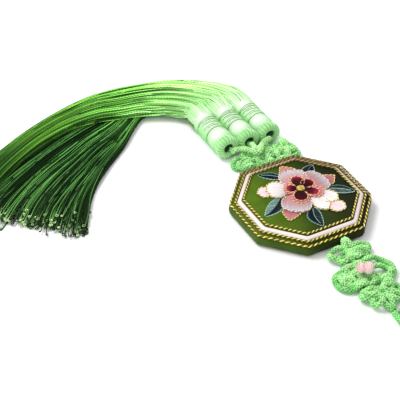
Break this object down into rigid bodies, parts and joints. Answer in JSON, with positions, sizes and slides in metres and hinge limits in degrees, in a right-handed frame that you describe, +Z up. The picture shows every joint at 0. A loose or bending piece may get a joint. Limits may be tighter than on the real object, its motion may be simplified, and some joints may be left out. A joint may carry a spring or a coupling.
{
  "type": "norigae",
  "caption": "Norigae lying flat: an embroidered octagonal pendant with gold cords, knots of mint braided cord, wound heads and long green tassels swept to one side, and a hanging loop.",
  "frame": {"origin": "the middle of the pendant's flat back, which lies on the floor", "axes": "+X to the right, seen from above with the tassels away, +Y from the hanging loop towards the tassel heads, +Z up from the floor, square to the pendant's face"},
  "size_m": [0.1725, 0.2432, 0.0111],
  "materials": {
    "green_silk": "satin",
    "pale_satin": "satin",
    "gold_thread": "glossy",
    "leaf_thread": "satin",
    "rose_thread": "satin",
    "white_thread": "satin",
    "lilac_thread": "satin",
    "wine_thread": "satin",
    "pink_thread": "matte",
    "mint_cord": "satin",
    "tassel_thread": "satin"
  },
  "bodies": {
    "root": {"pendant_body": "green_silk", "satin_band": "pale_satin", "gold_cord_outer": "gold_thread", "gold_cord_middle": "gold_thread", "gold_cord_inner": "gold_thread", "flower_eye": "gold_thread", "leaf_1": "leaf_thread", "leaf_2": "leaf_thread", "leaf_3": "leaf_thread", "leaf_4": "leaf_thread", "leaf_5": "leaf_thread", "tip_petal_1": "rose_thread", "tip_petal_2": "rose_thread", "tip_petal_3": "rose_thread", "tip_petal_4": "rose_thread", "tip_petal_5": "rose_thread", "petal_1": "lilac_thread", "petal_2": "lilac_thread", "petal_3": "white_thread", "petal_4": "lilac_thread", "petal_5": "white_thread", "heart_petal_1": "wine_thread", "heart_petal_2": "wine_thread", "heart_petal_3": "wine_thread", "heart_petal_4": "wine_thread", "heart_petal_5": "wine_thread", "clover_knot_near": "mint_cord", "wing_knot": "mint_cord", "pink_wrap": "pink_thread", "clover_knot_far": "mint_cord", "hanging_loop": "mint_cord", "lower_knot": "mint_cord", "tassel_cords": "mint_cord", "tassel_1": "tassel_thread", "tassel_2": "tassel_thread", "tassel_3": "tassel_thread"}
  },
  "joints": []
}
